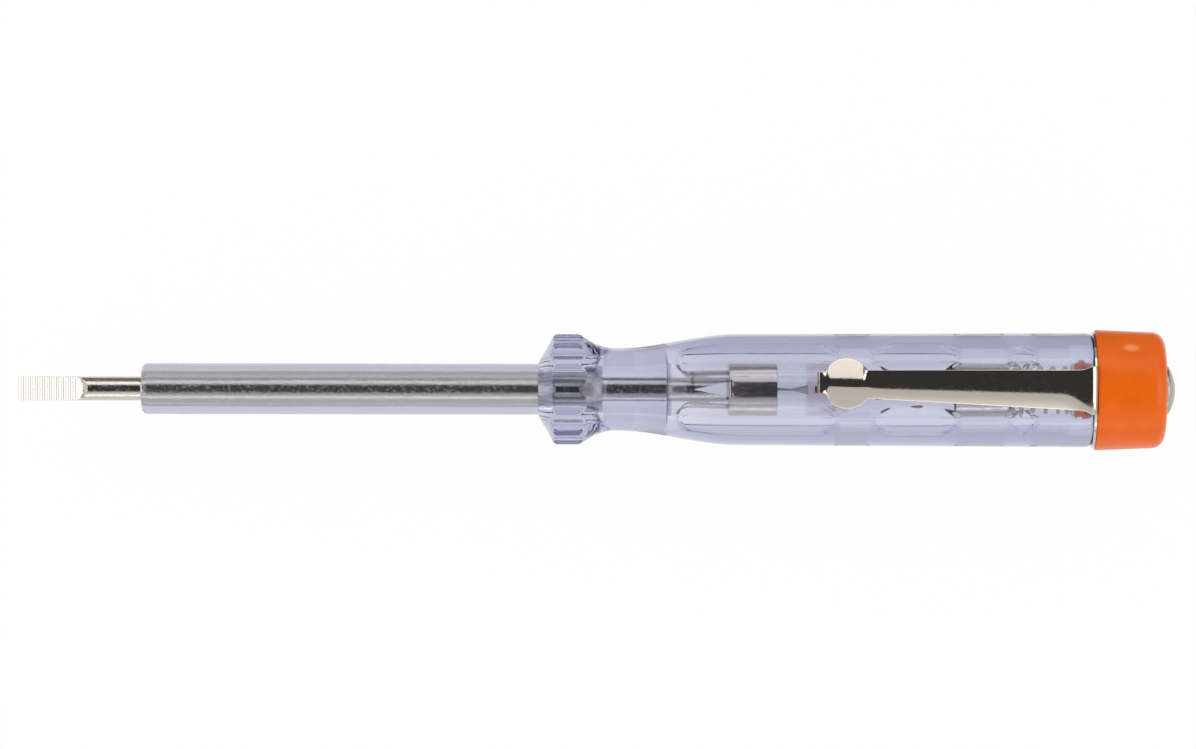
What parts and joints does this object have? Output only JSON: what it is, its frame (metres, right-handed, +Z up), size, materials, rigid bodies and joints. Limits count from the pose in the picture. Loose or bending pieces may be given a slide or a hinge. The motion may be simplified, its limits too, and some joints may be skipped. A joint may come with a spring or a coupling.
{
  "type": "voltage tester pen",
  "caption": "Voltage tester pen with a sleeved flat blade, a clear fluted handle over a glow lamp, a sprung pocket clip and a screw cap.",
  "frame": {"origin": "under the middle of the pen, on the surface that it lies on", "axes": "+X along the pen towards the cap, -X towards the tip, +Z up through the pocket clip"},
  "size_m": [0.1422, 0.0148, 0.0155],
  "materials": {
    "clear_handle": "polished clear moulding",
    "clear_sleeve": "polished clear tube",
    "blade_steel": "nickel-plated steel",
    "nickel": "bright nickel plate",
    "lamp_glass": "clear glass",
    "electrode": "dull nickel wire",
    "copper_wire": "copper-clad wire",
    "tinted_sleeve": "pink-tinted film",
    "tinned_wire": "tinned wire",
    "ceramic": "fired ceramic",
    "lacquer": "baked lacquer",
    "spring_steel": "drawn spring wire",
    "touch_metal": "brushed nickel",
    "cap_plastic": "satin moulding"
  },
  "bodies": {
    "handle": {"handle": "clear_handle", "blade": "blade_steel", "blade_sleeve": "clear_sleeve", "lamp_ferrule": "nickel", "lamp_glass": "lamp_glass", "lamp_front_electrode": "electrode", "lamp_rear_electrode": "copper_wire", "lamp_seal": "copper_wire", "lamp_sleeve": "tinted_sleeve", "resistor_front_lead": "tinned_wire", "resistor_core": "ceramic", "resistor_front_cap": "tinned_wire", "resistor_rear_cap": "tinned_wire", "resistor_coating": "lacquer", "resistor_rear_lead": "tinned_wire", "contact_cup": "nickel"},
    "clip_collar": {"clip_collar": "nickel"},
    "clip_arm": {"clip_arm": "nickel"},
    "spring": {"contact_spring": "spring_steel"},
    "cap": {"end_cap": "cap_plastic", "touch_contact": "touch_metal", "contact_washer": "nickel"}
  },
  "joints": [
    {"name": "cap_travel", "type": "slide", "parent": "handle", "child": "spring", "axis": [1, 0, 0], "range_m": [0, 0.0025], "deforming": ["contact_spring"]},
    {"name": "cap_turn", "type": "hinge", "parent": "spring", "child": "cap", "pos_m": [0.06116, 0, 0.00741], "axis": [1, 0, 0], "range_deg": [0, 720]},
    {"name": "clip_swivel", "type": "hinge", "parent": "handle", "child": "clip_collar", "pos_m": [0.06094, 0, 0.00741], "axis": [1, 0, 0], "continuous": true},
    {"name": "clip_lift", "type": "hinge", "parent": "clip_collar", "child": "clip_arm", "pos_m": [0.06094, 0, 0.01529], "axis": [0, 1, 0], "range_deg": [0, 8], "stiffness_Nm_per_rad": 0.6, "springref_deg": -1.72}
  ],
  "couplings": [
    {"joint": "cap_turn", "follows": "cap_travel", "rad_per_m": 5026.5}
  ]
}
